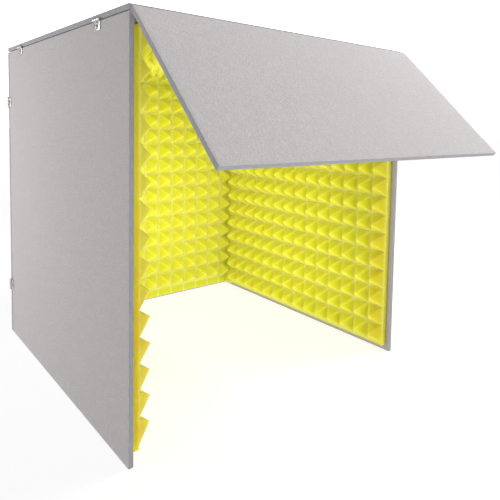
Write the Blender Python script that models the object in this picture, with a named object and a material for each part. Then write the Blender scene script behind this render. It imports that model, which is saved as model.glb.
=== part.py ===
"""Microphone isolation shield: a felt-board booth lined with pyramid foam.

Five boards stand open at the front and at the bottom: a back board, two wings that swing on
it, a roof that lifts on the left wing, and a flap that tilts on the roof's front edge. The
wing and roof hinges have one leaf on the wing's outer face and the other inside the joint.
The flap hinges lie under the roof. Booth coordinates are measured from the left wing's outer
face, the wings' front edges and the floor.
"""

import math

import bmesh
import bpy
from mathutils import Matrix, Vector

# Boards, in metres
WIDTH = 0.470
DEPTH = 0.480
HEIGHT = 0.500
BOARD = 0.006
JOINT_GAP = 0.0016  # the open joint that takes one hinge leaf
FLAP_LENGTH = 0.220
FLAP_DROOP = math.radians(44)  # below horizontal
FLAP_END_GAP = 0.0005  # each end face to the flap's axis

# Foam pads
FOAM_GAP = 0.0003  # the glue line behind a pad
FOAM_DEPTH = 0.031  # back face to tips
FOAM_PEAK = 0.022  # valleys to tips
FOAM_PITCH = 0.031
FOAM_ROWS = 15
WING_FOAM_FRONT = 0.007
# Above the floor: a pad's lowest valley line with whole pyramids above it, and its lower edge
LEFT_FOAM_FLOOR = (0.016, 0.0125)
RIGHT_FOAM_FLOOR = (0.014, 0.0105)
BACK_FOAM_FLOOR = (0.022, 0.006)
BACK_FOAM_SIDE = 0.0106  # outer face of a wing to the back pad
CORNER_GAP = 0.0006  # wing pads to the back pad's tips
ROOF_FOAM_FRONT = 0.015
ROOF_FOAM_SIDE = 0.040  # outer face of a wing to the roof pad
ROOF_FOAM_GAP = 0.003  # roof pad to the back pad's tips

# Hinges
HINGE_LENGTH = 0.017
LEAF_WIDTH = 0.012
LEAF_THICK = 0.0009
KNUCKLE_RADIUS = 0.002
BORE_RADIUS = 0.0011
PIN_RADIUS = 0.0008
PIN_HEAD_RADIUS = 0.0016
PIN_HEAD = 0.0008
CLEAR = 0.0003  # between pieces that touch
CENTRE_KNUCKLE = 0.0053
AXIS_TO_FACE = 0.0023  # axis to the board that a surface leaf lies on
WING_HINGE_HEIGHTS = (0.086, 0.406)
ROOF_HINGE_DEPTHS = (0.082, 0.399)
FLAP_HINGE_INSET = 0.090

# Screws
SCREW_OUT = 0.0074  # from the hinge's axis
SHANK_RADIUS = 0.001
HOLE_RADIUS = 0.0013
SHANK_DEPTH = 0.0042
PILOT_DEPTH = 0.0048
PAN_RADIUS = 0.0024
PAN_HEIGHT = 0.0013
SINK_RADIUS = 0.0025
SINK_CLEAR = 0.0004

ROUND = 14
SMALL_ROUND = 10

# Derived places
WING_TOP = HEIGHT - BOARD - JOINT_GAP
WING_REAR = DEPTH - BOARD - JOINT_GAP
WING_AXIS_Y = DEPTH - BOARD - JOINT_GAP / 2
ROOF_AXIS_Z = HEIGHT - BOARD - JOINT_GAP / 2
FLAP_AXIS_Z = HEIGHT - BOARD - AXIS_TO_FACE
TIP_PLANE = BOARD + FOAM_GAP + FOAM_DEPTH  # outer face to a pad's tips
FLAP_REACH = (FLAP_LENGTH + FLAP_END_GAP) * math.cos(FLAP_DROOP)
FLAP_REACH += (AXIS_TO_FACE + BOARD) * math.sin(FLAP_DROOP)
MIDDLE_Y = (DEPTH - FLAP_REACH) / 2

X = Vector((1, 0, 0))
Y = Vector((0, 1, 0))
Z = Vector((0, 0, 1))


def clear_scene():
    """Remove every object that the file opened with."""
    for thing in list(bpy.data.objects):
        bpy.data.objects.remove(thing, do_unlink=True)


def material(name, colour, roughness, metallic=0.0):
    """A plain Principled material."""
    made = bpy.data.materials.new(name)
    made.use_nodes = True
    shader = made.node_tree.nodes["Principled BSDF"]
    shader.inputs["Base Color"].default_value = (*colour, 1.0)
    shader.inputs["Roughness"].default_value = roughness
    shader.inputs["Metallic"].default_value = metallic
    return made


def frame(origin, along_x, along_y):
    """A matrix at booth coordinates, with two of its axes given."""
    along_z = along_x.cross(along_y)
    turn = Matrix((along_x, along_y, along_z)).transposed().to_4x4()
    place = Vector(origin) - Vector((WIDTH / 2, MIDDLE_Y, 0))
    return Matrix.Translation(place) @ turn


class Body:
    """A group of pieces that moves on one axis, held by an empty on that axis."""

    def __init__(self, name, origin, parent=None, droop=0.0):
        axis = frame(origin, X, Y)
        self.pose = axis @ Matrix.Rotation(droop, 4, "X") @ axis.inverted()
        self.place = self.pose @ axis
        self.empty = bpy.data.objects.new(name, None)
        self.empty.empty_display_size = 0.03
        bpy.context.collection.objects.link(self.empty)
        if parent:
            self.empty.parent = parent.empty
            self.empty.matrix_basis = parent.place.inverted() @ self.place
        else:
            self.empty.matrix_basis = self.place

    def add(self, name, mesh, place):
        """Make an object of this body; place is given before the body's droop."""
        thing = bpy.data.objects.new(name, mesh)
        bpy.context.collection.objects.link(thing)
        thing.parent = self.empty
        thing.matrix_basis = self.place.inverted() @ self.pose @ place
        return thing


def mesh_from(bm, name, skin=None):
    """Finish a bmesh with outward faces and a material."""
    bmesh.ops.recalc_face_normals(bm, faces=bm.faces)
    mesh = bpy.data.meshes.new(name)
    bm.to_mesh(mesh)
    bm.free()
    if skin:
        mesh.materials.append(skin)
    return mesh


def box_mesh(name, low, high, skin=None):
    """A box between two corners."""
    bm = bmesh.new()
    bmesh.ops.create_cube(bm, size=1.0)
    for vert in bm.verts:
        vert.co = Vector(h if c > 0 else l for c, l, h in zip(vert.co, low, high))
    return mesh_from(bm, name, skin)


def turned_mesh(name, profile, sides, skin=None):
    """A solid of revolution about Z. The profile's first and last points lie on the axis."""
    bm = bmesh.new()
    rings = []
    for radius, height in profile[1:-1]:
        ring = []
        for k in range(sides):
            angle = math.tau * k / sides
            ring.append(bm.verts.new((radius * math.cos(angle), radius * math.sin(angle), height)))
        rings.append(ring)
    start = bm.verts.new((0, 0, profile[0][1]))
    end = bm.verts.new((0, 0, profile[-1][1]))
    for k in range(sides):
        after = (k + 1) % sides
        bm.faces.new((start, rings[0][k], rings[0][after]))
        bm.faces.new((end, rings[-1][after], rings[-1][k]))
        for one, two in zip(rings, rings[1:]):
            bm.faces.new((one[k], two[k], two[after], one[after]))
    return mesh_from(bm, name, skin)


def round_mesh(name, low, high, radius_low, radius_high=None, sides=ROUND):
    """A cylinder or a cone along Z."""
    if radius_high is None:
        radius_high = radius_low
    profile = [(0, low), (radius_low, low), (radius_high, high), (0, high)]
    return turned_mesh(name, profile, sides)


def combine(name, base, joins, cuts, skin):
    """Union and cut meshes given as (mesh, matrix) pairs, and return one mesh."""
    parts = []
    first = bpy.data.objects.new(name, base)
    bpy.context.collection.objects.link(first)
    steps = [("UNION", pair) for pair in joins] + [("DIFFERENCE", pair) for pair in cuts]
    for operation, (mesh, place) in steps:
        tool = bpy.data.objects.new(name + "_tool", mesh)
        tool.matrix_basis = place
        tool.hide_render = True
        tool.display_type = "WIRE"
        bpy.context.collection.objects.link(tool)
        step = first.modifiers.new(operation.lower(), "BOOLEAN")
        step.operation = operation
        step.solver = "EXACT"
        step.object = tool
        parts.append(tool)
    bpy.context.view_layer.update()
    graph = bpy.context.evaluated_depsgraph_get()
    made = bpy.data.meshes.new_from_object(first.evaluated_get(graph))
    made.name = name
    made.materials.clear()
    made.materials.append(skin)
    for thing in [first] + parts:
        bpy.data.objects.remove(thing, do_unlink=True)
    return made


def plate_mesh(outline, low, high):
    """A flat plate: an outline in local X and Z, between two heights along local Y."""
    bm = bmesh.new()
    verts = [bm.verts.new((x, low, z)) for x, z in outline]
    face = bm.faces.new(verts)
    grown = bmesh.ops.extrude_face_region(bm, geom=[face])["geom"]
    moved = [item for item in grown if isinstance(item, bmesh.types.BMVert)]
    bmesh.ops.translate(bm, verts=moved, vec=(0, high - low, 0))
    return mesh_from(bm, "plate")


def rounded_corner(corner_x, corner_z, radius, start):
    """Points of a quarter arc inside a plate's corner, from the start angle."""
    centre_x = corner_x - radius
    centre_z = corner_z - math.copysign(radius, corner_z)
    points = []
    for step in range(4):
        angle = start + math.pi / 2 * step / 3
        points.append((centre_x + radius * math.cos(angle), centre_z + radius * math.sin(angle)))
    return points


def screw_frame(leaf):
    """A screw's frame on a leaf: level with the hinge's axis, with +Z driving into the board."""
    drive = Matrix((X, -Z, Y)).transposed().to_4x4()
    return leaf @ Matrix.Translation((SCREW_OUT, 0, 0)) @ drive


def leaf_mesh(name, centre, surface, skin):
    """One hinge leaf. Its barrel is on local Z, its plate runs along +X, its board is at +Y.

    centre: this leaf has the middle knuckle, not the two outer ones.
    surface: the plate lies on a board's face, not in a joint.
    """
    half = HINGE_LENGTH / 2
    middle = CENTRE_KNUCKLE / 2
    inset = 0.0001  # keeps the plate's ends inside the knuckles' ends
    root = 0.0003 if surface else 0.0015
    notch = KNUCKLE_RADIUS + 0.0004
    end = half - inset
    arc = rounded_corner(LEAF_WIDTH, -end, 0.002, -math.pi / 2)
    arc += rounded_corner(LEAF_WIDTH, end, 0.002, 0.0)
    if centre:
        step = middle - inset
        outline = [(notch, -end)] + arc + [(notch, end)]
        outline += [(notch, step), (root, step), (root, -step), (notch, -step)]
        spans = [(-middle, middle)]
    else:
        outer = middle + CLEAR
        step = outer + inset
        outline = [(root, -end)] + arc + [(root, end)]
        outline += [(root, step), (notch, step), (notch, -step), (root, -step)]
        spans = [(-half, -outer), (outer, half)]
    high = AXIS_TO_FACE - CLEAR - inset if surface else LEAF_THICK / 2
    low = high - LEAF_THICK
    plate = plate_mesh(outline, low, high)
    joins = [(round_mesh("knuckle", a, b, KNUCKLE_RADIUS), Matrix()) for a, b in spans]
    bore = round_mesh("bore", -HINGE_LENGTH, HINGE_LENGTH, BORE_RADIUS)
    cuts = [(bore, Matrix.Rotation(math.pi / ROUND, 4, "Z"))]
    if surface:
        hole = round_mesh("hole", low - BOARD, high + BOARD, HOLE_RADIUS, sides=SMALL_ROUND)
    else:
        slope = HOLE_RADIUS + SINK_CLEAR
        reach = LEAF_THICK  # the sink's cone runs this far past both faces of the plate
        wide = SINK_RADIUS + SINK_CLEAR
        rate = (wide - slope) / LEAF_THICK * reach
        hole = round_mesh("sink", low - reach, high + reach, wide + rate, slope - rate,
                          sides=SMALL_ROUND)
    cuts.append((hole, screw_frame(Matrix())))
    return combine(name, plate, joins, cuts, skin)


def pan_screw_mesh(skin):
    """A pan head screw that holds a surface leaf, from the hinge axis's level."""
    face = AXIS_TO_FACE
    seat = face - CLEAR - 0.0001 - LEAF_THICK - CLEAR
    top = seat - PAN_HEIGHT
    profile = [(0, top), (PAN_RADIUS * 0.6, top + 0.00012), (PAN_RADIUS * 0.93, top + 0.0005),
               (PAN_RADIUS, seat - 0.0002), (PAN_RADIUS, seat), (SHANK_RADIUS, seat),
               (SHANK_RADIUS, face + SHANK_DEPTH - 0.0008), (0, face + SHANK_DEPTH)]
    return turned_mesh("pan_screw", profile, SMALL_ROUND, skin)


def sunk_screw_mesh(skin):
    """A countersunk screw that is flush in a leaf inside a joint."""
    face = JOINT_GAP / 2
    top = -LEAF_THICK / 2
    bottom = LEAF_THICK / 2
    profile = [(0, top), (SINK_RADIUS, top), (HOLE_RADIUS, bottom), (SHANK_RADIUS, bottom),
               (SHANK_RADIUS, face + SHANK_DEPTH - 0.0008), (0, face + SHANK_DEPTH)]
    return turned_mesh("sunk_screw", profile, SMALL_ROUND, skin)


def pin_mesh(skin):
    """A hinge pin with a low head at both ends."""
    shoulder = HINGE_LENGTH / 2 + CLEAR
    top = shoulder + PIN_HEAD
    rim = shoulder + PIN_HEAD * 0.6
    profile = [(0, -top), (PIN_HEAD_RADIUS * 0.7, -top), (PIN_HEAD_RADIUS, -rim),
               (PIN_HEAD_RADIUS, -shoulder), (PIN_RADIUS, -shoulder), (PIN_RADIUS, shoulder),
               (PIN_HEAD_RADIUS, shoulder), (PIN_HEAD_RADIUS, rim),
               (PIN_HEAD_RADIUS * 0.7, top), (0, top)]
    return turned_mesh("pin", profile, SMALL_ROUND, skin)


class Hinges:
    """The shared hinge meshes, the pieces placed with them, and the pilot holes they need."""

    def __init__(self, skin):
        self.outer = leaf_mesh("leaf_outer", False, True, skin)
        self.centre = leaf_mesh("leaf_centre", True, True, skin)
        self.hidden = leaf_mesh("leaf_hidden", True, False, skin)
        self.pan = pan_screw_mesh(skin)
        self.sunk = sunk_screw_mesh(skin)
        self.pin = pin_mesh(skin)
        self.pilots = {}

    def leaf(self, body, board, name, mesh, screw, place, face):
        """A leaf with its screw, and the pilot hole that the screw needs in the board."""
        body.add(name + "_leaf", mesh, place)
        body.add(name + "_screw", screw, screw_frame(place))
        self.pilots.setdefault(board, []).append((screw_frame(place), face))

    def surface_leaf(self, body, board, name, place, centre=False):
        """A leaf on a board's face, with a pan head screw."""
        mesh = self.centre if centre else self.outer
        self.leaf(body, board, name, mesh, self.pan, place, AXIS_TO_FACE)

    def hidden_leaf(self, body, board, name, place):
        """A leaf inside a joint, with a countersunk screw."""
        self.leaf(body, board, name, self.hidden, self.sunk, place, JOINT_GAP / 2)


def board(hinges, body, name, low, high, skin):
    """A board between two booth corners, with the pilot holes of its screws."""
    centre = (Vector(low) + Vector(high)) / 2
    place = frame(centre, X, Y)
    half = (Vector(high) - Vector(low)) / 2
    mesh = box_mesh(name, -half, half, skin)
    cuts = []
    for screw, face in hinges.pilots.get(name, []):
        pilot = round_mesh("pilot", face - 0.001, face + PILOT_DEPTH, HOLE_RADIUS,
                           sides=SMALL_ROUND)
        cuts.append((pilot, place.inverted() @ screw))
    body.add(name, combine(name, mesh, [], cuts, skin), place)


def foam_mesh(name, x_range, y_range, skin, lip=True):
    """A pyramid foam pad on local XY. Valleys run at whole pitches from the local origin.

    lip: below the origin in local Y, the pad is a flat strip at the valleys' height.
    """
    first = [math.floor(lo / FOAM_PITCH + 1e-6) for lo, hi in (x_range, y_range)]
    last = [math.ceil(hi / FOAM_PITCH - 1e-6) for lo, hi in (x_range, y_range)]
    columns = last[0] - first[0]
    rows = last[1] - first[1]
    valley = FOAM_DEPTH - FOAM_PEAK
    bm = bmesh.new()

    def corner(i, j, height):
        return bm.verts.new(((first[0] + i) * FOAM_PITCH, (first[1] + j) * FOAM_PITCH, height))

    grid = [[corner(i, j, valley) for j in range(rows + 1)] for i in range(columns + 1)]
    for i in range(columns):
        for j in range(rows):
            ring = (grid[i][j], grid[i + 1][j], grid[i + 1][j + 1], grid[i][j + 1])
            if lip and first[1] + j < 0:
                bm.faces.new(ring)
                continue
            tip = corner(i + 0.5, j + 0.5, FOAM_DEPTH)
            for one, two in zip(ring, ring[1:] + ring[:1]):
                bm.faces.new((one, two, tip))
    low = [corner(0, 0, 0), corner(columns, 0, 0), corner(columns, rows, 0), corner(0, rows, 0)]
    bm.faces.new(low[::-1])
    bm.faces.new([low[0], low[1]] + [grid[i][0] for i in range(columns, -1, -1)])
    bm.faces.new([low[1], low[2]] + [grid[columns][j] for j in range(rows, -1, -1)])
    bm.faces.new([low[2], low[3]] + [grid[i][rows] for i in range(columns + 1)])
    bm.faces.new([low[3], low[0]] + [grid[0][j] for j in range(rows + 1)])
    mesh = mesh_from(bm, name, skin)

    margin = FOAM_PITCH
    cuts = []
    full = [(first[0] * FOAM_PITCH, last[0] * FOAM_PITCH), (first[1] * FOAM_PITCH, last[1] * FOAM_PITCH)]
    for axis, (wanted, whole) in enumerate(zip((x_range, y_range), full)):
        for side in (0, 1):
            if abs(wanted[side] - whole[side]) < 1e-6:
                continue
            low_corner = [full[0][0] - margin, full[1][0] - margin, -margin]
            high_corner = [full[0][1] + margin, full[1][1] + margin, FOAM_DEPTH + margin]
            if side:
                low_corner[axis] = wanted[1]
            else:
                high_corner[axis] = wanted[0]
            cuts.append((box_mesh("trim", low_corner, high_corner), Matrix()))
    return combine(name, mesh, [], cuts, skin)


def make_wing_hinges(hinges, back, wings):
    """Two hinges on each rear corner: one leaf on the wing, one in the joint on the back."""
    for side, wing in wings.items():
        outward = -X if side == "left" else X
        x = -AXIS_TO_FACE if side == "left" else WIDTH + AXIS_TO_FACE
        for level, z in zip(("low", "high"), WING_HINGE_HEIGHTS):
            name = f"{side}_{level}"
            origin = (x, WING_AXIS_Y, z)
            on_wing = frame(origin, -Y, -outward)
            in_joint = frame(origin, -outward, Y)
            hinges.surface_leaf(wing, f"{side}_wing_panel", name + "_wing", on_wing)
            hinges.hidden_leaf(back, "back_wall_panel", name + "_back", in_joint)
            back.add(name + "_hinge_pin", hinges.pin, in_joint)


def make_roof_hinges(hinges, left_wing, roof):
    """Two hinges along the left wing's top edge."""
    for level, y in zip(("front", "rear"), ROOF_HINGE_DEPTHS):
        name = f"roof_{level}"
        origin = (-AXIS_TO_FACE, y, ROOF_AXIS_Z)
        on_wing = frame(origin, -Z, X)
        in_joint = frame(origin, X, Z)
        hinges.surface_leaf(left_wing, "left_wing_panel", name + "_wing", on_wing)
        hinges.hidden_leaf(roof, "roof_panel", name + "_roof", in_joint)
        left_wing.add(name + "_hinge_pin", hinges.pin, on_wing)


def make_flap_hinges(hinges, roof, flap):
    """Two hinges under the roof's front edge, with both leaves on the inner faces."""
    for side, x in (("left", FLAP_HINGE_INSET), ("right", WIDTH - FLAP_HINGE_INSET)):
        name = f"flap_{side}"
        origin = (x, 0, FLAP_AXIS_Z)
        on_roof = frame(origin, Y, Z)
        on_flap = frame(origin, -Y, Z)
        hinges.surface_leaf(roof, "roof_panel", name + "_roof", on_roof)
        hinges.surface_leaf(flap, "flap_panel", name + "_flap", on_flap, centre=True)
        roof.add(name + "_hinge_pin", hinges.pin, on_roof)


def make_boards(hinges, bodies, felt):
    """The five boards."""
    under_roof = HEIGHT - BOARD
    flap_low = FLAP_AXIS_Z + AXIS_TO_FACE
    board(hinges, bodies["back"], "back_wall_panel",
          (0, DEPTH - BOARD, 0), (WIDTH, DEPTH, WING_TOP), felt)
    board(hinges, bodies["left_wing"], "left_wing_panel",
          (0, 0, 0), (BOARD, WING_REAR, WING_TOP), felt)
    board(hinges, bodies["right_wing"], "right_wing_panel",
          (WIDTH - BOARD, 0, 0), (WIDTH, WING_REAR, WING_TOP), felt)
    board(hinges, bodies["roof"], "roof_panel",
          (0, FLAP_END_GAP, under_roof), (WIDTH, DEPTH, HEIGHT), felt)
    board(hinges, bodies["flap"], "flap_panel",
          (0, -FLAP_END_GAP - FLAP_LENGTH, flap_low), (WIDTH, -FLAP_END_GAP, flap_low + BOARD), felt)


def make_foam(bodies, foam):
    """The four pads. Each one's local Z points away from its board."""
    glue = BOARD + FOAM_GAP
    wing_length = DEPTH - TIP_PLANE - CORNER_GAP - WING_FOAM_FRONT
    height = FOAM_ROWS * FOAM_PITCH
    valley, edge = LEFT_FOAM_FLOOR
    left = frame((glue, WING_FOAM_FRONT, valley), Y, Z)
    left_mesh = foam_mesh("left_foam_pad", (0, wing_length), (edge - valley, height), foam)
    bodies["left_wing"].add("left_foam_pad", left_mesh, left)
    valley, edge = RIGHT_FOAM_FLOOR
    right = frame((WIDTH - glue, WING_FOAM_FRONT, valley), -Y, Z)
    right_mesh = foam_mesh("right_foam_pad", (-wing_length, 0), (edge - valley, height), foam)
    bodies["right_wing"].add("right_foam_pad", right_mesh, right)
    # On the back pad and the roof pad, a column of pyramids stands on the middle line.
    shift = FOAM_PITCH / 2
    half_width = WIDTH / 2 - BACK_FOAM_SIDE
    valley, edge = BACK_FOAM_FLOOR
    back = frame((WIDTH / 2 - shift, DEPTH - glue, valley), X, Z)
    back_range = (shift - half_width, shift + half_width)
    back_mesh = foam_mesh("back_foam_pad", back_range, (edge - valley, height), foam)
    bodies["back"].add("back_foam_pad", back_mesh, back)
    half_roof = WIDTH / 2 - ROOF_FOAM_SIDE
    roof_length = DEPTH - TIP_PLANE - ROOF_FOAM_GAP - ROOF_FOAM_FRONT
    roof = frame((WIDTH / 2 - shift, ROOF_FOAM_FRONT, HEIGHT - glue), X, -Y)
    roof_range = (shift - half_roof, shift + half_roof)
    roof_mesh = foam_mesh("roof_foam_pad", roof_range, (-roof_length, 0), foam, lip=False)
    bodies["roof"].add("roof_foam_pad", roof_mesh, roof)


def main():
    clear_scene()
    felt = material("felt_board", (0.58, 0.56, 0.56), 0.9)
    foam = material("yellow_foam", (0.75, 0.70, 0.05), 0.95)
    nickel = material("nickel_steel", (0.78, 0.77, 0.75), 0.3, metallic=1.0)
    back = Body("back_frame", (WIDTH / 2, DEPTH, 0))
    left = Body("left_wing_axis", (-AXIS_TO_FACE, WING_AXIS_Y, 0), back)
    right = Body("right_wing_axis", (WIDTH + AXIS_TO_FACE, WING_AXIS_Y, 0), back)
    roof = Body("roof_axis", (-AXIS_TO_FACE, DEPTH / 2, ROOF_AXIS_Z), left)
    flap = Body("flap_axis", (WIDTH / 2, 0, FLAP_AXIS_Z), roof, FLAP_DROOP)
    bodies = {"back": back, "left_wing": left, "right_wing": right, "roof": roof, "flap": flap}
    hinges = Hinges(nickel)
    make_wing_hinges(hinges, back, {"left": left, "right": right})
    make_roof_hinges(hinges, left, roof)
    make_flap_hinges(hinges, roof, flap)
    make_boards(hinges, bodies, felt)
    make_foam(bodies, foam)


main()
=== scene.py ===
# The looks of the microphone isolation shield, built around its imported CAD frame. Every piece is
# measured from the CAD nodes: boards and pads from their nodes' extents, hinges from their pins.

import math

import bmesh
import bpy
import numpy as np
from mathutils import Matrix, Vector


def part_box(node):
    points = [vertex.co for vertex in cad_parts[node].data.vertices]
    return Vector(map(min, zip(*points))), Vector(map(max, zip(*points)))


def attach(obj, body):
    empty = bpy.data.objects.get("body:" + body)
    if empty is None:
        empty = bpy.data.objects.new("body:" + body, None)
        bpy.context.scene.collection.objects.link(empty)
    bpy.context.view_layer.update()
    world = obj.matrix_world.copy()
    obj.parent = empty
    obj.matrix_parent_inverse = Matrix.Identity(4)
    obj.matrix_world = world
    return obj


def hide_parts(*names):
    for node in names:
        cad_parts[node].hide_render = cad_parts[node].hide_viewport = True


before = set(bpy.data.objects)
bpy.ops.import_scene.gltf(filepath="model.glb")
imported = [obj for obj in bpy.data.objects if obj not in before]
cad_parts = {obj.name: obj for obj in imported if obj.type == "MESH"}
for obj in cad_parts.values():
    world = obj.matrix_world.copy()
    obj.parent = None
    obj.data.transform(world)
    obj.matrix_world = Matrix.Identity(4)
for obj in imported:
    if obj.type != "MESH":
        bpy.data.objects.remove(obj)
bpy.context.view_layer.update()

X = Vector((1, 0, 0))
Y = Vector((0, 1, 0))
Z = Vector((0, 0, 1))
DRIVE = Matrix((X, -Z, Y)).transposed().to_4x4()  # a screw's +Z runs along a leaf's +Y
FLAP_DROOP = math.radians(44)  # below horizontal at rest
BOARD = 0.006

# Foam, with heights above a pad's back
FOAM_PITCH = 0.031
FOAM_ROWS = 15
FOAM_VALLEY = 0.009
FOAM_DEPTH = 0.031
BACK_PAD_SPREAD = 0.0038  # how much wider than its CAD solid the back pad is, on each side
BACK_PAD_BORDER = 0.0078  # the strip of full height along each of its sides
HALF_PITCH_STEPS = (0.0, 0.06, 0.2, 0.42, 0.64, 0.84, 0.95)  # grid lines from a tip to a valley

# Hinges and screws
HINGE_LENGTH = 0.017
LEAF_WIDTH = 0.012
LEAF_THICK = 0.0009
LEAF_INSET = 0.0001  # how far a plate's edges and face stay inside the CAD leaf's
LEAF_CORNER = 0.002
KNUCKLE_RADIUS = 0.002
PIN_RADIUS = 0.0008
CLEAR = 0.0003
CENTRE_KNUCKLE = 0.0053
AXIS_TO_FACE = 0.0023
JOINT_GAP = 0.0016
SCREW_OUT = 0.0074  # from the hinge's axis
SCREW_HOLE = 0.0013
SHANK_RADIUS = 0.001
SHANK_LENGTH = 0.0042  # below the board's face
SHANK_POINT = 0.0008
PAN_HEIGHT = 0.0013

# Light
SKY = 0.355
FLOOR_GLOW = 0.80
FAR_GLOW = 0.90  # where the lamps no longer reach the floor


# ---------------------------------------------------------------- noise and meshes

def lattice(i, j, k, seed):
    """Repeatable values from -1 to 1 at whole-number points."""
    n = i * 73856093 ^ j * 19349663 ^ k * 83492791 ^ (seed * 97531 + 12345)
    n = (n ^ (n >> 13)) * 1274126177
    n = (n ^ (n >> 16)) & 0xFFFF
    return n / 32767.5 - 1.0


def noise(points, size, seed):
    """Smooth noise from -1 to 1 with features of about the given size."""
    p = points / size + 100.0
    base = np.floor(p).astype(np.int64)
    f = p - base
    w = f * f * (3 - 2 * f)
    total = np.zeros(len(points))
    for a in (0, 1):
        for b in (0, 1):
            for c in (0, 1):
                share = np.where(a, w[:, 0], 1 - w[:, 0]) * np.where(b, w[:, 1], 1 - w[:, 1])
                share = share * np.where(c, w[:, 2], 1 - w[:, 2])
                total += share * lattice(base[:, 0] + a, base[:, 1] + b, base[:, 2] + c, seed)
    return total


def mesh_of(name, points, faces, smooth=40):
    """A mesh from points and faces, smooth but for edges above the given angle."""
    mesh = bpy.data.meshes.new(name)
    mesh.from_pydata([tuple(p) for p in points], [], [tuple(int(i) for i in f) for f in faces])
    mesh.validate()
    mesh.shade_smooth()
    mesh.set_sharp_from_angle(angle=math.radians(smooth))
    return mesh


def add(name, mesh, place, body, skin, slot, *nodes):
    """Put a piece in place: it rides on a body and stands for CAD nodes."""
    thing = bpy.data.objects.new(name, mesh)
    bpy.context.scene.collection.objects.link(thing)
    thing.matrix_world = place
    if not mesh.materials:
        mesh.materials.append(skin)
    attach(thing, body)
    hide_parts(*nodes)
    return thing


def turned(along_x, along_y):
    """A rotation with two of its axes given."""
    return Matrix((along_x, along_y, along_x.cross(along_y))).transposed()


def extent(node, turn):
    """Lowest and highest corner of a CAD node, measured along a rotation's axes."""
    points = np.array([v.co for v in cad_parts[node].data.vertices]) @ np.array(turn)
    return points.min(0), points.max(0)


# ---------------------------------------------------------------- material nodes

class Skin:
    """A Principled material and short ways to add nodes to it. Its textures use object coordinates."""

    def __init__(self, name):
        self.made = bpy.data.materials.new(name)
        self.made.use_nodes = True
        self.tree = self.made.node_tree
        self.shader = self.tree.nodes["Principled BSDF"]
        self.place = self.node("ShaderNodeTexCoord").outputs["Object"]

    def node(self, kind, **settings):
        made = self.tree.nodes.new(kind)
        for key, value in settings.items():
            setattr(made, key, value)
        return made

    def feed(self, socket, value):
        if isinstance(value, bpy.types.NodeSocket):
            self.tree.links.new(value, socket)
        else:
            socket.default_value = value

    def stretch(self, scale, turn=(0, 0, 0), vector=None):
        made = self.node("ShaderNodeMapping")
        self.feed(made.inputs["Vector"], vector or self.place)
        made.inputs["Scale"].default_value = scale
        made.inputs["Rotation"].default_value = turn
        return made.outputs["Vector"]

    def noise(self, scale, detail=3.0, rough=0.55, warp=0.0, vector=None, colour=False):
        made = self.node("ShaderNodeTexNoise")
        self.feed(made.inputs["Vector"], vector or self.place)
        made.inputs["Scale"].default_value = scale
        made.inputs["Detail"].default_value = detail
        made.inputs["Roughness"].default_value = rough
        made.inputs["Distortion"].default_value = warp
        return made.outputs["Color" if colour else "Fac"]

    def cells(self, scale, feature="F1"):
        made = self.node("ShaderNodeTexVoronoi", feature=feature)
        self.feed(made.inputs["Vector"], self.place)
        made.inputs["Scale"].default_value = scale
        return made.outputs["Distance"]

    def math(self, operation, a, b=0.0):
        made = self.node("ShaderNodeMath", operation=operation)
        self.feed(made.inputs[0], a)
        self.feed(made.inputs[1], b)
        return made.outputs[0]

    def span(self, value, low, high, to_low=0.0, to_high=1.0, smooth=False):
        made = self.node("ShaderNodeMapRange", clamp=True)
        if smooth:
            made.interpolation_type = "SMOOTHSTEP"
        for key, item in zip(("Value", "From Min", "From Max", "To Min", "To Max"),
                             (value, low, high, to_low, to_high)):
            self.feed(made.inputs[key], item)
        return made.outputs["Result"]

    def mix(self, share, a, b):
        made = self.node("ShaderNodeMix", data_type="RGBA")
        for socket, value in ((made.inputs[0], share), (made.inputs[6], a), (made.inputs[7], b)):
            if isinstance(value, tuple) and len(value) == 3:
                value = (*value, 1.0)
            self.feed(socket, value)
        return made.outputs[2]

    def parts(self, vector):
        made = self.node("ShaderNodeSeparateXYZ")
        self.feed(made.inputs[0], vector)
        return made.outputs

    def bump(self, height, distance, strength=1.0, normal=None):
        made = self.node("ShaderNodeBump")
        made.inputs["Distance"].default_value = distance
        made.inputs["Strength"].default_value = strength
        self.feed(made.inputs["Height"], height)
        if normal:
            self.feed(made.inputs["Normal"], normal)
        return made.outputs["Normal"]

    def finish(self, **sockets):
        for key, value in sockets.items():
            self.feed(self.shader.inputs[key.replace("_", " ")], value)
        return self.made


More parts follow.
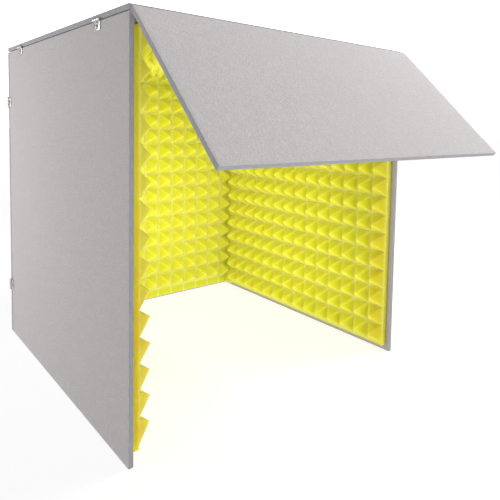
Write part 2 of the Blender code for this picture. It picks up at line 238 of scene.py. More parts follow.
def felt_skin():
    """Pressed grey felt: heathered fibres, short creases with painted shade along them, and a bluer,
    layered cut edge.
    """
    s = Skin("felt_board")
    # Fibres: thin strands that lie in the board's plane in four directions
    strands = None
    bend = s.noise(70, 2, 0.5, colour=True)
    bent = s.node("ShaderNodeVectorMath", operation="MULTIPLY_ADD")
    s.feed(bent.inputs[0], bend)
    bent.inputs[1].default_value = (0.006, 0.006, 0.0)
    s.feed(bent.inputs[2], s.place)
    for angle, across in ((8, 1500), (52, 1300), (97, 1650), (141, 1400)):
        laid = s.stretch((across, 110, 600), (0, 0, math.radians(angle)), bent.outputs[0])
        one = s.noise(1.0, 2, 0.5, vector=laid)
        strands = one if strands is None else s.math("MAXIMUM", strands, one)
    strands = s.span(strands, 0.5, 0.78)
    creases = s.noise(230, 3, 0.55, 0.9)
    creases = s.math("ABSOLUTE", s.math("SUBTRACT", creases, 0.5))
    creases = s.span(creases, 0.0, 0.16)
    lumps = s.noise(120, 4, 0.6, 0.3)
    # Colour
    tone = s.mix(s.span(s.noise(11, 3, 0.6), 0.35, 0.65), (0.458, 0.418, 0.419), (0.438, 0.415, 0.422))
    tone = s.mix(s.span(lumps, 0.3, 0.7, 0.0, 0.55), tone, (0.395, 0.380, 0.383))
    tone = s.mix(s.math("MULTIPLY", strands, 0.30), tone, (0.56, 0.54, 0.54))
    # Painted shade: the felt is darker along the creases' grooves
    tone = s.mix(s.span(creases, 0.0, 0.5, 0.22, 0.0), tone, (0.30, 0.285, 0.29))
    flecks = s.span(s.noise(900, 1, 0.5), 0.66, 0.74)
    tone = s.mix(s.math("MULTIPLY", flecks, 0.22), tone, (0.20, 0.20, 0.215))
    # The cut edge: where the surface turns out of the board's plane
    facing = s.node("ShaderNodeTexCoord").outputs["Normal"]
    out = s.math("ABSOLUTE", s.parts(facing)[2])
    cut = s.span(out, 0.35, 0.75, 1.0, 0.0, smooth=True)
    height = s.parts(s.place)[2]
    layers = s.noise(1.0, 2, 0.6, vector=s.stretch((90, 90, 2600)))
    edge = s.mix(s.span(layers, 0.3, 0.7), (0.243, 0.247, 0.268), (0.352, 0.354, 0.377))
    rim = s.span(s.math("ABSOLUTE", height), BOARD * 0.36, BOARD * 0.49)
    edge = s.mix(s.math("MULTIPLY", rim, 0.6), edge, (0.205, 0.205, 0.215))
    tone = s.mix(cut, tone, edge)
    # Relief
    bumps = s.bump(s.noise(2600, 2, 0.6), 0.00010, 0.5)
    bumps = s.bump(strands, 0.00012, 0.4, bumps)
    bumps = s.bump(creases, 0.00042, 0.7, bumps)
    bumps = s.bump(lumps, 0.0004, 0.45, bumps)
    rough = s.span(strands, 0.0, 1.0, 0.93, 0.80)
    return s.finish(Base_Color=tone, Roughness=rough, Normal=bumps, Sheen_Weight=0.22,
                    Sheen_Roughness=0.45, Sheen_Tint=(1.0, 0.97, 0.96, 1.0), Specular_IOR_Level=0.25)


def foam_skin(name, front_shade):
    """Open-cell yellow foam: pores with painted shade in them, a soft translucent body, and painted
    highlights on the ridges, tips and valleys.

    front_shade: how much painted shade, from 0 to 1, makes the foam a darker, warmer yellow near local X =
    0, at a wing's pad's front end.
    """
    s = Skin(name)
    place = s.parts(s.place)
    up = s.span(place[2], FOAM_VALLEY, FOAM_DEPTH)
    # Distance from the middle line of a pyramid, from 0 to 1, along each axis
    across = []
    for value in place[:2]:
        share = s.math("FRACT", s.math("MULTIPLY", value, 1 / FOAM_PITCH))
        across.append(s.math("MULTIPLY", s.math("ABSOLUTE", s.math("SUBTRACT", share, 0.5)), 2.0))
    apart = s.math("ABSOLUTE", s.math("SUBTRACT", *across))  # 0 along a ridge
    # Painted highlights: pale lines run along the ridges and valleys, but not on the pad's cut sides
    turned_up = s.parts(s.node("ShaderNodeTexCoord").outputs["Normal"])[2]
    moulded = s.span(turned_up, 0.15, 0.35)
    ridge = s.span(apart, 0.0, 0.17, 1.0, 0.0, smooth=True)
    ridge = s.math("MULTIPLY", ridge, s.span(up, 0.03, 0.14))
    valley = s.span(s.math("MAXIMUM", *across), 0.80, 0.98, smooth=True)
    soft = s.noise(260, 3, 0.6)
    pits = s.span(s.cells(1150), 0.10, 0.42)
    fine = s.cells(2600, "SMOOTH_F1")
    patch = s.noise(16, 3, 0.6)
    tone = s.mix(s.span(patch, 0.3, 0.7), (0.745, 0.705, 0.030), (0.725, 0.720, 0.038))
    # Painted highlight: each pyramid is paler towards its tip
    tone = s.mix(s.span(up, 0.55, 1.0, 0.0, 0.35), tone, (0.84, 0.80, 0.13))
    lines = s.math("MAXIMUM", s.math("MULTIPLY", ridge, 0.28), s.math("MULTIPLY", valley, 0.80))
    lines = s.math("MULTIPLY", lines, s.span(soft, 0.25, 0.65, 0.45, 1.0))
    lines = s.math("MULTIPLY", lines, moulded)
    if front_shade:
        # Painted shade: a darker, warmer yellow at the pad's front end, strongest low down, where it also
        # takes away the painted highlight lines
        painted_front_shade = s.span(s.math("ABSOLUTE", place[0]), 0.004, 0.034, front_shade, 0.0, smooth=True)
        painted_front_shade = s.math("MULTIPLY", painted_front_shade, s.span(s.noise(40, 3, 0.6), 0.3, 0.7, 0.7, 1.0))
        painted_front_shade = s.math("MULTIPLY", painted_front_shade, s.span(place[1], 0.12, 0.40, 1.0, 0.4, smooth=True))
        tone = s.mix(painted_front_shade, tone, (0.620, 0.450, 0.017))
        lines = s.math("MULTIPLY", lines, s.math("SUBTRACT", 1.0, painted_front_shade))
    tone = s.mix(lines, tone, (0.90, 0.88, 0.34))
    # Painted shade: each pore is darker at its hollow middle
    tone = s.mix(s.span(pits, 0.0, 1.0, 0.35, 0.0), tone, (0.54, 0.49, 0.014))
    worn = s.span(s.noise(210, 3, 0.6), 0.56, 0.75)
    tone = s.mix(s.math("MULTIPLY", worn, 0.18), tone, (0.85, 0.82, 0.18))
    bumps = s.bump(s.noise(330, 3, 0.6), 0.0004, 0.5)
    bumps = s.bump(pits, 0.00030, 0.6, bumps)
    bumps = s.bump(fine, 0.00012, 0.4, bumps)
    rough = s.span(pits, 0.0, 1.0, 0.98, 0.84)
    return s.finish(Base_Color=tone, Roughness=rough, Normal=bumps, Subsurface_Weight=0.85,
                    Subsurface_Radius=(1.0, 0.96, 0.22), Subsurface_Scale=0.026,
                    Sheen_Weight=0.25, Sheen_Roughness=0.5, Sheen_Tint=(1.0, 0.99, 0.7, 1.0),
                    Specular_IOR_Level=0.15)


def nickel_skin(name, base, dark):
    """Nickel plate with brushed grain, smudges and dull spots."""
    s = Skin(name)
    brushed = s.noise(1.0, 2, 0.6, vector=s.stretch((9000, 9000, 420)))
    smudge = s.noise(420, 4, 0.6)
    worn = s.span(s.noise(900, 3, 0.6), 0.55, 0.72)
    tone = s.mix(s.span(smudge, 0.3, 0.7, 0.0, 0.5), base, dark)
    tone = s.mix(s.math("MULTIPLY", worn, 0.25), tone, tuple(0.55 * c for c in dark))
    rough = s.math("ADD", s.span(brushed, 0.3, 0.7, 0.20, 0.34), s.span(smudge, 0.4, 0.7, 0.0, 0.12))
    bumps = s.bump(brushed, 0.00002, 0.35)
    bumps = s.bump(smudge, 0.00010, 0.25, bumps)
    return s.finish(Base_Color=tone, Roughness=rough, Normal=bumps, Metallic=1.0)


# ---------------------------------------------------------------- boards

def board_mesh(name, size, seed):
    """A felt board on local XY with softened arrises, a faint waviness and a fibrous cut edge."""
    radius = 0.0009
    cell = 0.005
    half = np.array(size) / 2
    counts = [max(4, int(round(2 * (h - radius) / cell))) for h in half[:2]]
    lines = [np.linspace(-h + radius, h - radius, n + 1) for h, n in zip(half, counts)]
    nx, ny = counts
    points = []
    faces = []
    for z in (half[2], -half[2]):
        start = len(points)
        for y in lines[1]:
            for x in lines[0]:
                points.append((x, y, z))
        for j in range(ny):
            for i in range(nx):
                a = start + j * (nx + 1) + i
                quad = [a, a + 1, a + nx + 2, a + nx + 1]
                faces.append(quad if z > 0 else quad[::-1])
    below = (nx + 1) * (ny + 1)
    # The outline as (grid point, outward direction), counter-clockwise, with a fan at each corner
    sides = [([(i, 0) for i in range(nx + 1)], -90), ([(nx, j) for j in range(ny + 1)], 0),
             ([(i, ny) for i in range(nx, -1, -1)], 90), ([(0, j) for j in range(ny, -1, -1)], 180)]
    outline = []
    for cells, angle in sides:
        for i, j in cells:
            outline.append((j * (nx + 1) + i, angle))
        for step in (30, 60):
            outline.append((cells[-1][1] * (nx + 1) + cells[-1][0], angle + step))
    # The rim's profile from the top face to the bottom face, as (outward, height)
    flat = half[2] - radius
    profile = [(radius * math.sin(math.radians(a)), flat + radius * math.cos(math.radians(a)))
               for a in (30, 60, 90)]
    profile += [(radius, flat * t) for t in (0.6, 0.2, -0.2, -0.6)]
    profile += [(radius * math.sin(math.radians(a)), -flat + radius * math.cos(math.radians(a)))
                for a in (90, 120, 150)]
    rings = []
    for grid, angle in outline:
        base = points[grid]
        turn = math.radians(angle)
        ring = [grid]
        for outward, height in profile:
            ring.append(len(points))
            points.append((base[0] + outward * math.cos(turn), base[1] + outward * math.sin(turn), height))
        ring.append(grid + below)
        rings.append(ring)
    for one, two in zip(rings, rings[1:] + rings[:1]):
        for k in range(len(profile) + 1):
            quad = [one[k], one[k + 1], two[k + 1], two[k]]
            kept = [p for n, p in enumerate(quad) if p != quad[n - 1]]
            if len(kept) > 2:
                faces.append(kept)
    points = np.array(points)
    inner = np.clip((half[:2] - np.abs(points[:, :2])).min(1) / 0.02, 0, 1)
    wave = 0.00010 * noise(points * (1, 1, 0), 0.09, seed) * inner
    wave += 0.00006 * noise(points, 0.012, seed + 1)
    points[:, 2] += wave - 0.00004
    edge = np.abs(points[:, 2]) < half[2] - 0.0003
    for axis in (0, 1):
        frayed = 0.00010 * noise(points * (1, 1, 3), 0.004, seed + 2 + axis) - 0.00005
        points[:, axis] += np.where(edge, frayed, 0) * np.sign(points[:, axis])
    return mesh_of(name, points, faces, 60)


def make_boards(skin):
    """The five boards. Local X runs along a board, and local Z points out of its outer face."""
    droop = Matrix.Rotation(FLAP_DROOP, 3, "X")
    boards = (("back_wall", "back", turned(-X, Z)), ("left_wing", "left_wing", turned(-Y, Z)),
              ("right_wing", "right_wing", turned(Y, Z)), ("roof", "roof", turned(X, Y)),
              ("flap", "flap", droop @ turned(X, Y)))
    for seed, (name, body, turn) in enumerate(boards):
        low, high = extent(name + "_panel", turn)
        mesh = board_mesh(name, high - low, 10 * seed)
        place = Matrix.Translation(turn @ Vector((low + high) / 2)) @ turn.to_4x4()
        add(name + "_felt", mesh, place, body, skin, "felt_board", name + "_panel")


# ---------------------------------------------------------------- foam

def foam_lines(low, high, extra=()):
    """Grid lines across a pad: finer at tips and valleys, and one at each end of the pad."""
    places = list(extra)
    first = math.floor(low / FOAM_PITCH - 0.01)
    last = math.ceil(high / FOAM_PITCH + 0.01)
    for k in range(first, last + 1):
        places.append(k * FOAM_PITCH)
        tip = (k + 0.5) * FOAM_PITCH
        for step in HALF_PITCH_STEPS:
            places += [tip - step * FOAM_PITCH / 2, tip + step * FOAM_PITCH / 2]
    inside = sorted({round(p, 7) for p in places if low + 0.0004 < p < high - 0.0004})
    return np.array([low] + inside + [high])


def foam_height(x, y, lip, seed):
    """Height of the pyramids above the pad's back, and how far each point leans with its tip."""
    u = x / FOAM_PITCH
    v = y / FOAM_PITCH
    i = np.floor(u + 1e-6).astype(np.int64)
    j = np.floor(v + 1e-6).astype(np.int64)
    a = np.abs(u - i - 0.5) * 2
    b = np.abs(v - j - 0.5) * 2
    soft = 0.035
    out = np.minimum(1.0, 0.5 * (a + b + np.sqrt((a - b) ** 2 + soft ** 2)))
    if lip:
        out = np.where(v < 0, 1.0, out)
    rise = np.sqrt((1 - out) ** 2 + 0.02 ** 2)
    peak = (FOAM_DEPTH - FOAM_VALLEY) * (1 - 0.018 * (1 + lattice(i, j, i * 0, seed)))
    lean_x = 0.0004 * lattice(i, j, i * 0 + 1, seed) * (1 - out)
    lean_y = 0.0004 * lattice(i, j, i * 0 + 2, seed) * (1 - out)
    return FOAM_VALLEY + peak * rise, lean_x, lean_y


def foam_sides(top, outline, low, high, seed):
    """Points and faces of a pad's cut sides and back, from its top's outline down to Z = 0."""
    middle = (np.array(low[:2]) + np.array(high[:2])) / 2
    points = []
    faces = []
    upper = outline
    count = len(top)
    for share in (0.72, 0.4, 0.12, 0.0):
        level = top[outline]
        level[:, 2] *= share
        if share:
            shift = 0.00015 * noise(level, 0.004, seed)
            level[:, :2] -= np.abs(shift)[:, None] * np.sign(level[:, :2] - middle)
        lower = list(range(count, count + len(outline)))
        points.append(level)
        count += len(outline)
        for k in range(len(outline)):
            m = (k + 1) % len(outline)
            faces.append((upper[k], lower[k], lower[m], upper[m]))
        upper = lower
    faces.append(tuple(upper[::-1]))
    return points, faces


def foam_mesh(name, low, high, lip, border, seed):
    """A pyramid foam pad between two local corners, with its back at local Z = 0.

    A valley runs along each local axis, and the others lie whole pitches from it.
    lip: below local Y = 0, the pad is a flat strip at the valleys' height.
    border: how wide a strip along both sides in local X is left at the pad's full height.
    """
    edges = (low[0] + border, high[0] - border)
    step = 0.0003
    steps = (edges[0], edges[0] + step, edges[1] - step, edges[1]) if border else ()
    xs = foam_lines(low[0], high[0], steps)
    ys = foam_lines(low[1], high[1])
    nx, ny = len(xs), len(ys)
    grid_x, grid_y = np.meshgrid(xs, ys)
    x, y = grid_x.ravel(), grid_y.ravel()
    z, lean_x, lean_y = foam_height(x, y, lip, seed)
    if border:
        z = np.where((x < edges[0] + step / 3) | (x > edges[1] - step / 3), FOAM_DEPTH - 0.0005, z)
    top = np.stack([x + lean_x, y + lean_y, z], 1)
    even = np.stack([x, y, z], 1)
    for axis, scale in ((0, 1.0), (1, 1.0), (2, 0.7)):
        top[:, axis] += 0.00028 * scale * noise(even, 0.009, seed + 3 + axis)
        top[:, axis] += 0.00012 * scale * noise(even, 0.0032, seed + 6 + axis)
    top[:, 0] = np.clip(top[:, 0], low[0], high[0])
    top[:, 1] = np.clip(top[:, 1], low[1], high[1])
    # Two triangles for each grid cell, split along the pyramids' ridges
    faces = []
    side_x = ((xs[1:] + xs[:-1]) / 2 / FOAM_PITCH) % 1 < 0.5
    side_y = ((ys[1:] + ys[:-1]) / 2 / FOAM_PITCH) % 1 < 0.5
    for j in range(ny - 1):
        for i in range(nx - 1):
            a = j * nx + i
            b, c, d = a + 1, a + nx + 1, a + nx
            if side_x[i] == side_y[j]:
                faces += [(a, b, c), (a, c, d)]
            else:
                faces += [(a, b, d), (b, c, d)]
    outline = list(range(nx)) + [j * nx + nx - 1 for j in range(1, ny)]
    outline += [(ny - 1) * nx + i for i in range(nx - 2, -1, -1)] + [j * nx for j in range(ny - 2, 0, -1)]
    levels, side_faces = foam_sides(top, outline, low, high, seed + 11)
    return mesh_of(name, np.concatenate([top] + levels), faces + side_faces, 75)


def make_foam(skin, left_skin, right_skin):
    """The four pads. Local Y points up on the walls, and to the booth's front on the roof."""
    pads = (("left", "left_wing", turned(Y, Z), left_skin),
            ("right", "right_wing", turned(-Y, Z), right_skin),
            ("back", "back", turned(X, Z), skin),
            ("roof", "roof", turned(X, -Y), skin))
    for seed, (name, body, turn, used) in enumerate(pads):
        node = name + "_foam_pad"
        low, high = extent(node, turn)
        border = 0.0
        if name == "back":
            # Soft foam closes round the hinge leaves in the joints, up to the wings' boards, and
            # the wings' pads butt against a strip of full height there
            low[0] -= BACK_PAD_SPREAD
            high[0] += BACK_PAD_SPREAD
            border = BACK_PAD_BORDER
        # Valleys run whole rows below a wall pad's top or behind the roof pad's front edge, and
        # whole columns behind a wing pad's front edge. The back and roof pads have a column of
        # pyramids on their middle line.
        middle = (low[0] + high[0]) / 2 - FOAM_PITCH / 2
        base = high[1] - FOAM_ROWS * FOAM_PITCH
        origin = {"left": (low[0], base), "right": (high[0], base),
                  "back": (middle, base), "roof": (middle, high[1])}[name]
        shift = np.array((origin[0], origin[1], low[2]))
        mesh = foam_mesh(name, low - shift, high - shift, name != "roof", border, 40 + 20 * seed)
        place = Matrix.Translation(turn @ Vector(shift)) @ turn.to_4x4()
        pad = add(name + "_pyramid_foam", mesh, place, body, used, "yellow_foam", node)


# ---------------------------------------------------------------- hinges

def lathe(name, profile, sides):
    """A solid of revolution about Z. The profile's first and last points lie on the axis."""
    points = [(0, 0, profile[0][1]), (0, 0, profile[-1][1])]
    faces = []
    rings = []
    for radius, height in profile[1:-1]:
        rings.append([len(points) + k for k in range(sides)])
        for k in range(sides):
            angle = math.tau * k / sides
            points.append((radius * math.cos(angle), radius * math.sin(angle), height))
    up = profile[-1][1] > profile[0][1]
    for k in range(sides):
        m = (k + 1) % sides
        made = [(0, rings[0][m], rings[0][k]), (1, rings[-1][k], rings[-1][m])]
        made += [(one[k], one[m], two[m], two[k]) for one, two in zip(rings, rings[1:])]
        faces += made if up else [f[::-1] for f in made]
    return mesh_of(name, points, faces)


def prism(name, outline, layers):
    """A plate lofted through copies of an outline in local X and Z, as (inset, height along Y)."""
    corners = np.array(outline)
    ahead = np.roll(corners, -1, 0) - corners
    ahead = ahead / np.linalg.norm(ahead, axis=1)[:, None]
    inward = np.stack([-ahead[:, 1], ahead[:, 0]], 1)
    both = inward + np.roll(inward, 1, 0)
    both = both / (both * inward).sum(1)[:, None]
    points = []
    rings = []
    for inset, height in layers:
        rings.append([len(points) + k for k in range(len(corners))])
        points += [(p[0], height, p[1]) for p in corners + both * inset]
    faces = [tuple(rings[0]), tuple(rings[-1][::-1])]
    for one, two in zip(rings, rings[1:]):
        for k in range(len(corners)):
            m = (k + 1) % len(corners)
            faces.append((one[k], two[k], two[m], one[m]))
    return mesh_of(name, points, faces)


def combine(name, base, joins, cuts):
    """Union and cut meshes given as (mesh, matrix) pairs, and return one mesh."""
    first = bpy.data.objects.new(name, base)
    bpy.context.scene.collection.objects.link(first)
    tools = []
    steps = [("UNION", pair) for pair in joins] + [("DIFFERENCE", pair) for pair in cuts]
    for operation, (mesh, place) in steps:
        tool = bpy.data.objects.new(name + "_tool", mesh)
        tool.matrix_basis = place
        bpy.context.scene.collection.objects.link(tool)
        step = first.modifiers.new(operation, "BOOLEAN")
        step.operation = operation
        step.solver = "EXACT"
        step.object = tool
        tools.append(tool)
    bpy.context.view_layer.update()
    graph = bpy.context.evaluated_depsgraph_get()
    made = bpy.data.meshes.new_from_object(first.evaluated_get(graph))
    made.name = name
    for thing in [first] + tools:
        bpy.data.objects.remove(thing, do_unlink=True)
    made.shade_smooth()
    made.set_sharp_from_angle(angle=math.radians(32))
    return made


def corner_arc(corner_x, corner_z, radius, start):
    """A quarter turn of points that rounds an outline's corner, from a starting angle."""
    centre_x = corner_x - radius
    centre_z = corner_z - math.copysign(radius, corner_z)
    turns = [start + math.pi / 2 * step / 7 for step in range(8)]
    return [(centre_x + radius * math.cos(t), centre_z + radius * math.sin(t)) for t in turns]


def knuckle_mesh(low, high):
    """One barrel section, with softened ends."""
    r = KNUCKLE_RADIUS
    nick = 0.00006
    soft = 0.0002
    return lathe("knuckle", [(0, low), (r - soft, low), (r - nick, low + nick), (r, low + soft),
                             (r, high - soft), (r - nick, high - nick), (r - soft, high), (0, high)], 44)


def leaf_mesh(name, centre, surface):
    """A hinge leaf as in the CAD: barrel on local Z, plate along +X, its board at +Y.

    centre: it has the one knuckle in the middle, and not the two outer ones.
    surface: it is screwed on a board's face, and not hidden inside the joint.
    """
    half = HINGE_LENGTH / 2
    middle = CENTRE_KNUCKLE / 2
    root = 0.0003 if surface else 0.0015
    notch = KNUCKLE_RADIUS + 0.0004
    end = half - LEAF_INSET
    arc = corner_arc(LEAF_WIDTH, -end, LEAF_CORNER, -math.pi / 2)
    arc += corner_arc(LEAF_WIDTH, end, LEAF_CORNER, 0.0)
    if centre:
        step = middle - LEAF_INSET
        outline = [(notch, -end)] + arc + [(notch, end)]
        outline += [(notch, step), (root, step), (root, -step), (notch, -step)]
        spans = [(-middle, middle)]
    else:
        outer = middle + CLEAR
        step = outer + LEAF_INSET
        outline = [(root, -end)] + arc + [(root, end)]
        outline += [(root, step), (notch, step), (notch, -step), (root, -step)]
        spans = [(-half, -outer), (outer, half)]
    high = AXIS_TO_FACE - CLEAR - LEAF_INSET if surface else LEAF_THICK / 2
    low = high - LEAF_THICK
    soft = 0.00012
    plate = prism("plate", outline, [(soft, low), (soft * 0.3, low + soft * 0.3), (0, low + soft),
                                     (0, high - soft), (soft, high)])
    joins = [(knuckle_mesh(a, b), Matrix.Rotation(0.031, 4, "Z")) for a, b in spans]
    past = half + 0.01
    bore_radius = PIN_RADIUS + CLEAR
    bore = lathe("bore", [(0, -past), (bore_radius, -past), (bore_radius, past), (0, past)], 30)
    cuts = [(bore, Matrix.Rotation(0.017, 4, "Z"))]
    if surface:
        lip = 0.00015
        above = 0.002
        hole = lathe("hole", [(0, low - above), (SCREW_HOLE + above + lip, low - above),
                              (SCREW_HOLE, low + lip), (SCREW_HOLE, high + above), (0, high + above)], 28)
    else:
        slope = 0.0017
        wide = 0.0029
        rate = wide - slope
        hole = lathe("sink", [(0, low - LEAF_THICK), (wide + rate, low - LEAF_THICK),
                              (slope - rate, high + LEAF_THICK), (0, high + LEAF_THICK)], 28)
    cuts.append((hole, Matrix.Translation((SCREW_OUT, 0, 0)) @ DRIVE))
    return combine(name, plate, joins, cuts)


def cross_blade(width, length, top, depth):
    """A tapered blade that cuts half of a cross recess, from above a screw's head."""
    points = []
    for share, z in ((1.3, top - 0.0005), (1.0, top), (0.42, top + depth)):
        a, b = length / 2 * share, width / 2 * (0.55 + 0.45 * share)
        points += [(-a, -b, z), (a, -b, z), (a, b, z), (-a, b, z)]
    faces = [(0, 1, 2, 3), (11, 10, 9, 8)]
    for layer in (0, 4):
        for k in range(4):
            m = (k + 1) % 4
            faces.append((layer + k, layer + 4 + k, layer + 4 + m, layer + m))
    return mesh_of("blade", points, faces)


def screw_mesh(name, profile, top, recess):
    """A turned screw with a cross recess of the given length in its head."""
    cuts = []
    for angle in (0.4, 0.4 + math.pi / 2):
        cuts.append((cross_blade(0.0007, recess, top, 0.0009), Matrix.Rotation(angle, 4, "Z")))
    return combine(name, lathe(name, profile, 36), [], cuts)


def pan_screw():
    """A round-headed screw for a leaf on a board's face, its axis along +Z into the board."""
    seat = AXIS_TO_FACE - 2 * CLEAR - LEAF_INSET - LEAF_THICK
    top = seat - PAN_HEIGHT
    point = AXIS_TO_FACE + SHANK_LENGTH
    return screw_mesh("pan_screw", [
        (0, top), (0.0008, top + 0.00003), (0.0014, top + 0.00013), (0.0019, top + 0.00033),
        (0.00225, top + 0.0007), (0.0024, top + 0.0011), (0.00235, seat), (SHANK_RADIUS, seat),
        (SHANK_RADIUS, point - SHANK_POINT), (0, point)], top, 0.0029)


def sunk_screw():
    """A countersunk screw for a leaf inside a joint."""
    top = -LEAF_THICK / 2
    under = LEAF_THICK / 2
    point = JOINT_GAP / 2 + SHANK_LENGTH
    return screw_mesh("sunk_screw", [
        (0, top), (0.00242, top), (0.0025, top + 0.00008), (SCREW_HOLE, under), (SHANK_RADIUS, under),
        (SHANK_RADIUS, point - SHANK_POINT), (0, point)], top, 0.0028)


def pin_mesh():
    """A hinge pin with a domed head at each end of the barrel."""
    shoulder = HINGE_LENGTH / 2 + CLEAR
    crown = shoulder + 0.0008
    dome = [(0.0016, shoulder), (0.0016, shoulder + 0.00035), (0.00145, shoulder + 0.00055),
            (0.0011, shoulder + 0.00072), (0.0006, crown)]
    profile = [(0, -crown)] + [(r, -z) for r, z in dome[::-1]]
    profile += [(PIN_RADIUS, -shoulder), (PIN_RADIUS, shoulder)] + dome + [(0, crown)]
    return lathe("pin", profile, 32)


def make_hardware(plate_skin, screw_skin):
    """The hinge leaves, screws and pins, each in the place of its CAD node."""
    outer = leaf_mesh("leaf_outer", False, True)
    centre = leaf_mesh("leaf_centre", True, True)
    hidden = leaf_mesh("leaf_hidden", True, False)
    pan = pan_screw()
    sunk = sunk_screw()
    pin = pin_mesh()

    def piece(node, mesh, body, place, skin):
        add(node + "_metal", mesh, place, body, skin, "nickel_steel", node)

    def hinge(pin_node, pin_body, one, two):
        """A pin and its two leaves: (name, body, mesh, rotation, screw)."""
        low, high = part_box(pin_node)
        origin = Matrix.Translation((low + high) / 2)
        piece(pin_node, pin, pin_body, origin @ one[3].to_4x4(), plate_skin)
        for name, body, mesh, turn, screw in (one, two):
            place = origin @ turn.to_4x4()
            piece(name + "_leaf", mesh, body, place, plate_skin)
            spin = Matrix.Rotation(0.9 * len(name), 4, "Z")
            drive = place @ Matrix.Translation((SCREW_OUT, 0, 0)) @ DRIVE @ spin
            piece(name + "_screw", screw, body, drive, screw_skin)

    for side, outward in (("left", -X), ("right", X)):
        for level in ("low", "high"):
            name = f"{side}_{level}"
            hinge(name + "_hinge_pin", "back",
                  (name + "_back", "back", hidden, turned(-outward, Y), sunk),
                  (name + "_wing", side + "_wing", outer, turned(-Y, -outward), pan))
    for level in ("front", "rear"):
        name = f"roof_{level}"
        hinge(name + "_hinge_pin", "left_wing",
              (name + "_wing", "left_wing", outer, turned(-Z, X), pan),
              (name + "_roof", "roof", hidden, turned(X, Z), sunk))
    droop = Matrix.Rotation(FLAP_DROOP, 3, "X")
    for side in ("left", "right"):
        name = f"flap_{side}"
        hinge(name + "_hinge_pin", "roof",
              (name + "_roof", "roof", outer, turned(Y, Z), pan),
              (name + "_flap", "flap", centre, droop @ turned(-Y, Z), pan))


# ---------------------------------------------------------------- stage

def floor_skin():
    """A pale floor that glows a little, as a light table does, so that no dark shadow lies on it."""
    s = Skin("pale_floor")
    tone = s.mix(s.noise(3, 3, 0.5), (0.31, 0.31, 0.31), (0.29, 0.29, 0.295))
    far = s.node("ShaderNodeVectorMath", operation="LENGTH")
    s.feed(far.inputs[0], s.place)
    glow = s.span(far.outputs["Value"], 1.2, 3.5, FLOOR_GLOW, FAR_GLOW, smooth=True)
    return s.finish(Base_Color=tone, Roughness=0.9, Specular_IOR_Level=0.1,
                    Emission_Color=(1.0, 1.0, 1.0, 1.0), Emission_Strength=glow)


def backdrop_skin():
    """Plain white, however the dome is lit."""
    s = Skin("white_backdrop")
    white = (1.0, 1.0, 1.0, 1.0)
    return s.finish(Base_Color=white, Emission_Color=white, Emission_Strength=1.0)


def area_light(name, place, target, size, power, spread=180):
    """A rectangular lamp that the camera doesn't see, with its spread in degrees."""
    data = bpy.data.lights.new(name, "AREA")
    data.shape = "RECTANGLE"
    data.size, data.size_y = size
    data.energy = power
    data.spread = math.radians(spread)
    lamp = bpy.data.objects.new(name, data)
    lamp.location = place
    lamp.rotation_euler = (Vector(target) - Vector(place)).to_track_quat("-Z", "Y").to_euler()
    lamp.visible_camera = False
    bpy.context.scene.collection.objects.link(lamp)


def make_stage():
    """The floor and the backdrop."""
    size = 20.0
    floor = bpy.data.objects.new("floor", mesh_of("floor", [
        (-size, -size, 0), (size, -size, 0), (size, size, 0), (-size, size, 0)], [(0, 1, 2, 3)]))
    floor.data.materials.append(floor_skin())
    bpy.context.scene.collection.objects.link(floor)
    # A white dome behind everything, which only the camera sees: it lights nothing
    shell = bpy.data.meshes.new("backdrop")
    bm = bmesh.new()
    bmesh.ops.create_uvsphere(bm, u_segments=48, v_segments=24, radius=size)
    bm.to_mesh(shell)
    bm.free()
    shell.materials.append(backdrop_skin())
    dome = bpy.data.objects.new("backdrop", shell)
    bpy.context.scene.collection.objects.link(dome)
    dome.visible_diffuse = dome.visible_glossy = dome.visible_transmission = dome.visible_shadow = False


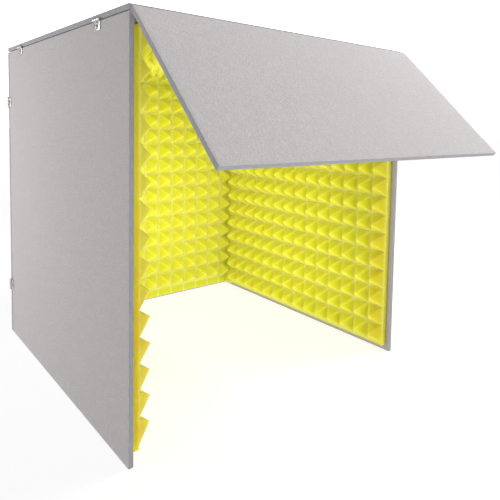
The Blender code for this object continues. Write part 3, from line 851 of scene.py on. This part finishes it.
def make_light():
    """A white sky, lamps outside that give the boards their shades, and soft light inside."""
    world = bpy.data.worlds.new("studio")
    world.use_nodes = True
    world.node_tree.nodes["Background"].inputs["Color"].default_value = (1.0, 1.0, 1.0, 1.0)
    world.node_tree.nodes["Background"].inputs["Strength"].default_value = SKY
    bpy.context.scene.world = world
    area_light("rear_left", (-1.25, 0.95, 0.42), (-0.24, 0.34, 0.30), (0.40, 0.6), 1.44, 60)
    area_light("front", (-0.5, -2.1, 0.45), (0.05, 0.0, 0.22), (1.3, 0.9), 14.0)
    area_light("right", (1.4, -0.5, 1.5), (0.2, -0.2, 0.35), (0.8, 0.8), 37.0)
    area_light("top", (0.0, -0.2, 1.9), (0.0, -0.2, 0.0), (1.6, 1.6), 2.0)
    area_light("inside_low", (0.05, 0.0, 0.012), (0.05, 0.04, 0.5), (0.20, 0.30), 0.20)
    area_light("inside_right", (-0.09, 0.06, 0.26), (0.30, 0.08, 0.26), (0.32, 0.40), 0.27)
    area_light("inside_back", (-0.02, -0.13, 0.27), (-0.02, 0.40, 0.30), (0.36, 0.30), 0.26, 100)
    bpy.context.scene.view_settings.view_transform = "Standard"


def make_camera():
    """The photograph's viewpoint, from a fit of the object's corners."""
    yaw, pitch, roll = (math.radians(a) for a in (40.928, 3.844, 1.176))
    data = bpy.data.cameras.new("camera")
    data.sensor_width = 36.0
    data.lens = 36.644
    data.shift_x = -0.05  # the photograph is cropped off the lens's axis
    data.shift_y = -0.1854
    data.clip_start = 0.01
    camera = bpy.data.objects.new("camera", data)
    ahead = Vector((math.sin(yaw), math.cos(yaw), 0))
    side = Vector((math.cos(yaw), -math.sin(yaw), 0))
    forward = ahead * math.cos(pitch) - Z * math.sin(pitch)
    above = Z * math.cos(pitch) + ahead * math.sin(pitch)
    right = side * math.cos(roll) + above * math.sin(roll)
    up = above * math.cos(roll) - side * math.sin(roll)
    place = Matrix((right, up, -forward)).transposed().to_4x4()
    # The booth's front left corner on the floor is where the fit's coordinates start
    start = Vector((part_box("left_wing_panel")[0].x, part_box("left_wing_panel")[0].y, 0))
    place.translation = start + Vector((-0.2317, -0.4998, 0.3799))
    camera.matrix_world = place
    bpy.context.scene.collection.objects.link(camera)
    bpy.context.scene.camera = camera


make_boards(felt_skin())
# The wing pads' skins carry painted shade at their front ends: fully on the left pad, and about half as
# much on the right
make_foam(foam_skin("yellow_foam", 0.0), foam_skin("left_foam", 1.0), foam_skin("right_foam", 0.55))
make_hardware(nickel_skin("nickel_steel", (0.64, 0.63, 0.61), (0.50, 0.49, 0.47)),
              nickel_skin("screw_steel", (0.40, 0.39, 0.39), (0.27, 0.26, 0.26)))
make_stage()
make_light()
make_camera()
